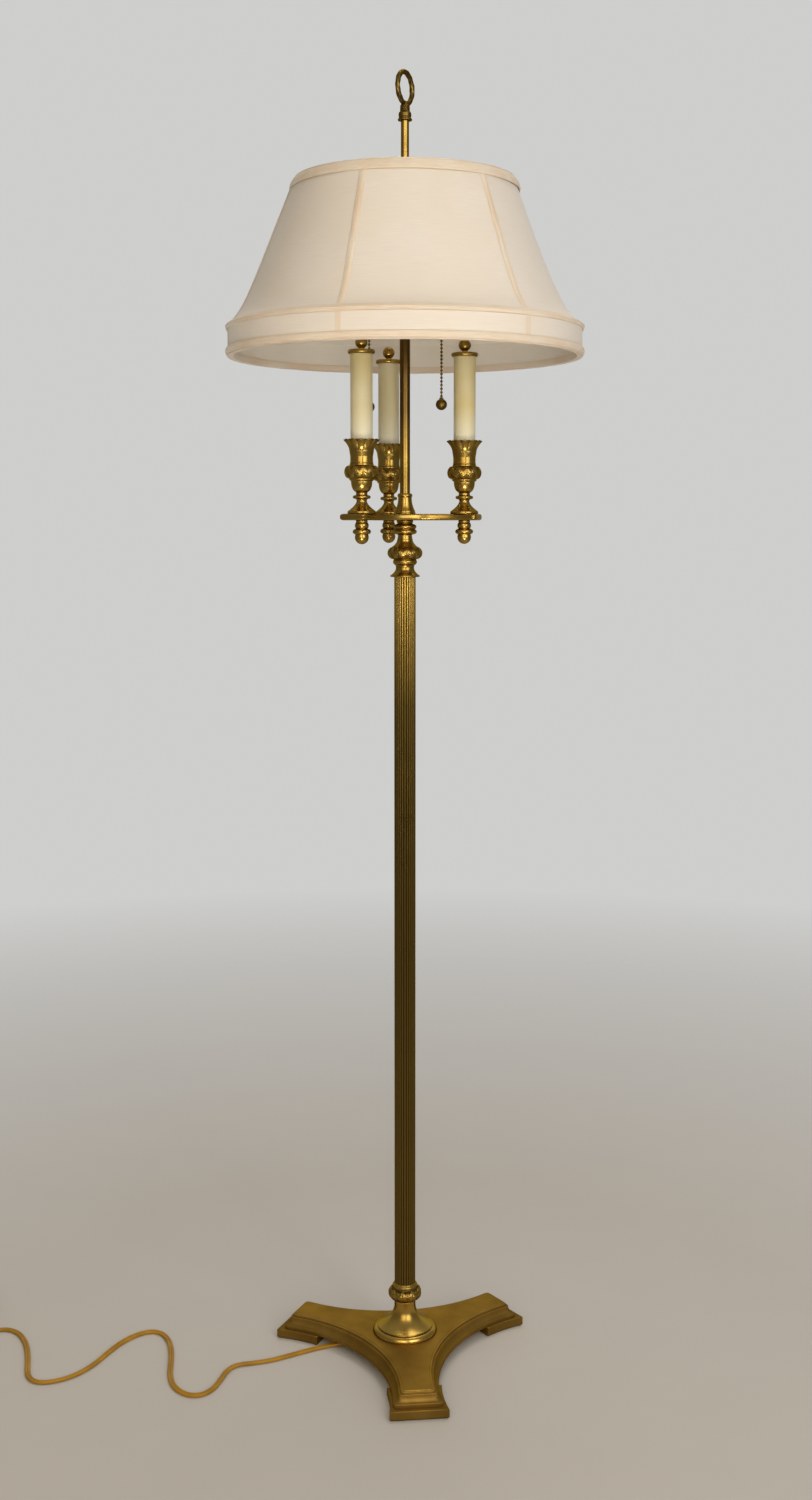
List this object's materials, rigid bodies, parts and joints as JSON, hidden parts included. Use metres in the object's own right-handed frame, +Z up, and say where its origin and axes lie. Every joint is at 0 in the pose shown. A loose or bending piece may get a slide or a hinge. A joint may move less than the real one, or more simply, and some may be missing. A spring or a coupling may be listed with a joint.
{
  "type": "floor lamp",
  "caption": "Traditional brass floor lamp: arched tripod base, reeded column, dummy candle arms, pull-chain cluster, panelled bell shade and ring finial.",
  "frame": {"origin": "on the floor, on the axis of the column, under the middle of the base", "axes": "+Z up along the column, -Y towards the viewer of the picture, +X to the viewer's right"},
  "size_m": [0.8426, 0.4168, 1.5353],
  "materials": {
    "aged_brass": "aged gold, polished on the high points",
    "satin_brass": "satin",
    "felt": "matt",
    "plated_steel": "zinc plated",
    "ivory_sleeve": "satin ivory",
    "black_plastic": "matt",
    "bulb_glass": "frosted",
    "cream_fabric": "stretched silk",
    "lining_fabric": "stretched lining",
    "gold_cord": "clear gold",
    "tie": "matt"
  },
  "bodies": {
    "stand": {"base_casting": "satin_brass", "foot_pads": "felt", "base_nut": "plated_steel", "bell_collar": "aged_brass", "lower_knop": "aged_brass", "fluted_column": "aged_brass", "column_cap": "aged_brass", "upper_knop": "aged_brass", "neck_spool": "aged_brass", "arm_plate": "aged_brass", "core_pipe": "plated_steel", "stem_collar": "aged_brass", "stem_tube": "aged_brass", "candle_base_1": "aged_brass", "candle_base_2": "aged_brass", "candle_base_3": "aged_brass", "candle_urn_1": "aged_brass", "candle_urn_2": "aged_brass", "candle_urn_3": "aged_brass", "candle_cup_1": "aged_brass", "candle_cup_2": "aged_brass", "candle_cup_3": "aged_brass", "candle_sleeve_1": "ivory_sleeve", "candle_sleeve_2": "ivory_sleeve", "candle_sleeve_3": "ivory_sleeve", "candle_cap_1": "aged_brass", "candle_cap_2": "aged_brass", "candle_cap_3": "aged_brass", "candle_rods": "plated_steel", "acorn_nuts": "aged_brass", "cluster_body": "aged_brass", "socket_cap_1": "aged_brass", "socket_cap_2": "aged_brass", "socket_shell_1": "aged_brass", "socket_shell_2": "aged_brass", "socket_body_1": "black_plastic", "socket_body_2": "black_plastic", "screw_shells": "aged_brass", "center_contacts": "aged_brass", "bulb_1": "bulb_glass", "bulb_2": "bulb_glass", "riser_rod": "aged_brass", "shade_nut": "aged_brass", "inner_cord": "gold_cord", "cord_grip": "black_plastic", "cord_run": "gold_cord", "cord_coil": "gold_cord", "cord_tie": "tie", "plug": "gold_cord"},
    "finial": {"ring_finial": "aged_brass"},
    "shade": {"shade_spider": "plated_steel", "shade_frame": "plated_steel", "shade_cover": "cream_fabric", "shade_lining": "lining_fabric", "shade_trim": "cream_fabric"},
    "chain_1": {"pull_chain_1": "aged_brass"},
    "chain_2": {"pull_chain_2": "aged_brass"},
    "lever_1": {"switch_lever_1": "plated_steel"},
    "lever_2": {"switch_lever_2": "plated_steel"}
  },
  "joints": [
    {"name": "finial_turn", "type": "hinge", "parent": "stand", "child": "finial", "pos_m": [0, 0, 1.48], "axis": [0, 0, 1], "continuous": true},
    {"name": "shade_turn", "type": "hinge", "parent": "stand", "child": "shade", "pos_m": [0, 0, 1.405], "axis": [0, 0, 1], "continuous": true},
    {"name": "chain_1_pull", "type": "slide", "parent": "stand", "child": "chain_1", "axis": [0, 0, -1], "range_m": [0, 0.008], "stiffness_N_per_m": 300, "springref_m": -0.004},
    {"name": "lever_1_rock", "type": "hinge", "parent": "stand", "child": "lever_1", "pos_m": [0.02909, -0.01357, 1.28818], "axis": [0.4226, 0.9063, 0], "range_deg": [0, 31.2]},
    {"name": "chain_2_pull", "type": "slide", "parent": "stand", "child": "chain_2", "axis": [0, 0, -1], "range_m": [0, 0.008], "stiffness_N_per_m": 300, "springref_m": -0.004},
    {"name": "lever_2_rock", "type": "hinge", "parent": "stand", "child": "lever_2", "pos_m": [-0.02909, 0.01357, 1.28818], "axis": [-0.4226, -0.9063, 0], "range_deg": [0, 31.2]}
  ],
  "couplings": [
    {"joint": "lever_1_rock", "follows": "chain_1_pull", "rad_per_m": 67.483},
    {"joint": "lever_2_rock", "follows": "chain_2_pull", "rad_per_m": 67.483}
  ]
}
